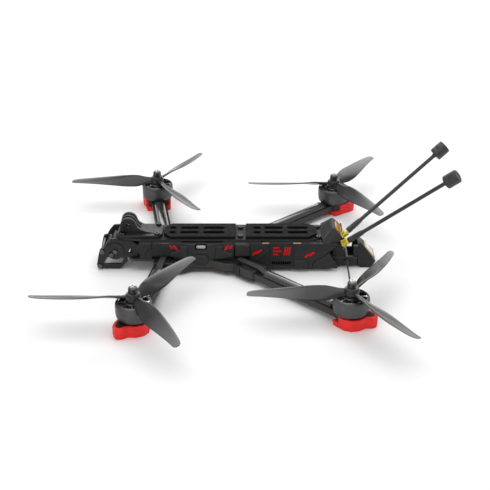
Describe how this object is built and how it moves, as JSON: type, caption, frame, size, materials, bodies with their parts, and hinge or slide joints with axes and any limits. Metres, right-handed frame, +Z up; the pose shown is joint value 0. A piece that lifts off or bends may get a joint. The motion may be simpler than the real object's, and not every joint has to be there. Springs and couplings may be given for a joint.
{
  "type": "fpv racing drone",
  "caption": "Multirotor racing drone with a flat X-shaped frame, faceted side covers, tilting nose camera, strap-on battery deck, action-camera mount and swept tail antennas.",
  "frame": {"origin": "on the underside of the belly plate, on the centre line, midway between the front and rear motor axles", "axes": "+X towards the nose, +Y to the drone's left, +Z up"},
  "size_m": [0.4009, 0.4446, 0.1158],
  "materials": {
    "carbon_plate": "satin woven carbon, brown-grey cut edges",
    "carbon_twill": "glossy twill",
    "cover_plastic": "matt charcoal",
    "black_plastic": "matt black",
    "pad_rubber": "matt black grip",
    "foot_rubber": "satin red",
    "propeller_plastic": "dark glossy grey",
    "motor_metal": "satin grey",
    "stator_steel": "laminated",
    "winding_copper": "enamelled wire",
    "screw_steel": "polished",
    "rod_aluminium": "polished",
    "sleeve_fabric": "braided sleeve",
    "board": "solder mask",
    "heat_sink": "anodised",
    "capacitor_sleeve": "heat-shrink",
    "connector_amber": "satin amber",
    "connector_gold": "gold plated",
    "antenna_black": "satin black",
    "lens_glass": "coated lens in a black barrel",
    "ceramic": "cream ceramic with a silvered square",
    "port_steel": "bright shell"
  },
  "bodies": {
    "frame": {"action_camera_mount": "black_plastic", "antenna_connectors": "connector_gold", "arm_cover_clips": "black_plastic", "arm_covers": "carbon_twill", "arm_front_left": "carbon_plate", "arm_front_right": "carbon_plate", "arm_rear_left": "carbon_plate", "arm_rear_right": "carbon_plate", "arm_root_keys": "black_plastic", "battery_connector": "connector_amber", "battery_pad_front": "pad_rubber", "battery_pad_rear": "pad_rubber", "belly_plate": "carbon_plate", "centre_cover_left": "cover_plastic", "centre_cover_right": "cover_plastic", "connector_holder": "cover_plastic", "feet": "foot_rubber", "flight_controller": "board", "front_covers": "cover_plastic", "gps_holder": "black_plastic", "gps_module": "ceramic", "light_boards": "board", "middle_plate": "carbon_plate", "motor_bases": "motor_metal", "motor_leads": "sleeve_fabric", "nose_cross_rods": "rod_aluminium", "nose_plate_left": "black_plastic", "nose_plate_right": "black_plastic", "posts": "rod_aluminium", "power_capacitor": "capacitor_sleeve", "rear_bracket": "black_plastic", "rear_cover_left": "cover_plastic", "rear_cover_right": "cover_plastic", "receiver_antennas": "antenna_black", "screws": "screw_steel", "side_pillars": "cover_plastic", "speed_controller": "board", "stator_cores": "stator_steel", "stator_windings": "winding_copper", "tail_covers": "cover_plastic", "top_plate": "carbon_plate", "usb_port": "port_steel", "video_transmitter": "heat_sink"},
    "rotor_front_left": {"bell_front_left": "motor_metal", "propeller_front_left": "propeller_plastic", "prop_nut_front_left": "screw_steel"},
    "rotor_front_right": {"bell_front_right": "motor_metal", "propeller_front_right": "propeller_plastic", "prop_nut_front_right": "screw_steel"},
    "rotor_rear_left": {"bell_rear_left": "motor_metal", "propeller_rear_left": "propeller_plastic", "prop_nut_rear_left": "screw_steel"},
    "rotor_rear_right": {"bell_rear_right": "motor_metal", "propeller_rear_right": "propeller_plastic", "prop_nut_rear_right": "screw_steel"},
    "camera": {"camera_housing": "black_plastic", "camera_lens": "lens_glass", "camera_pivot_screws": "screw_steel"},
    "antenna_left": {"antenna_left": "antenna_black"},
    "antenna_right": {"antenna_right": "antenna_black"}
  },
  "joints": [
    {"name": "front_left_motor", "type": "hinge", "parent": "frame", "child": "rotor_front_left", "pos_m": [0.0986, 0.1366, 0.026], "axis": [0, 0, 1], "continuous": true},
    {"name": "front_right_motor", "type": "hinge", "parent": "frame", "child": "rotor_front_right", "pos_m": [0.0986, -0.1366, 0.026], "axis": [0, 0, 1], "continuous": true},
    {"name": "rear_left_motor", "type": "hinge", "parent": "frame", "child": "rotor_rear_left", "pos_m": [-0.0986, 0.1263, 0.026], "axis": [0, 0, 1], "continuous": true},
    {"name": "rear_right_motor", "type": "hinge", "parent": "frame", "child": "rotor_rear_right", "pos_m": [-0.0986, -0.1263, 0.026], "axis": [0, 0, 1], "continuous": true},
    {"name": "camera_tilt", "type": "hinge", "parent": "frame", "child": "camera", "pos_m": [0.1291, 0, 0.0177], "axis": [0, 1, 0], "range_deg": [-20, 20]},
    {"name": "antenna_left_swivel", "type": "hinge", "parent": "frame", "child": "antenna_left", "pos_m": [-0.1052, 0.0106, 0.0262], "axis": [-0.7491, 0.2184, 0.6254], "continuous": true},
    {"name": "antenna_right_swivel", "type": "hinge", "parent": "frame", "child": "antenna_right", "pos_m": [-0.1052, -0.0106, 0.0262], "axis": [-0.7491, -0.2184, 0.6254], "continuous": true}
  ]
}
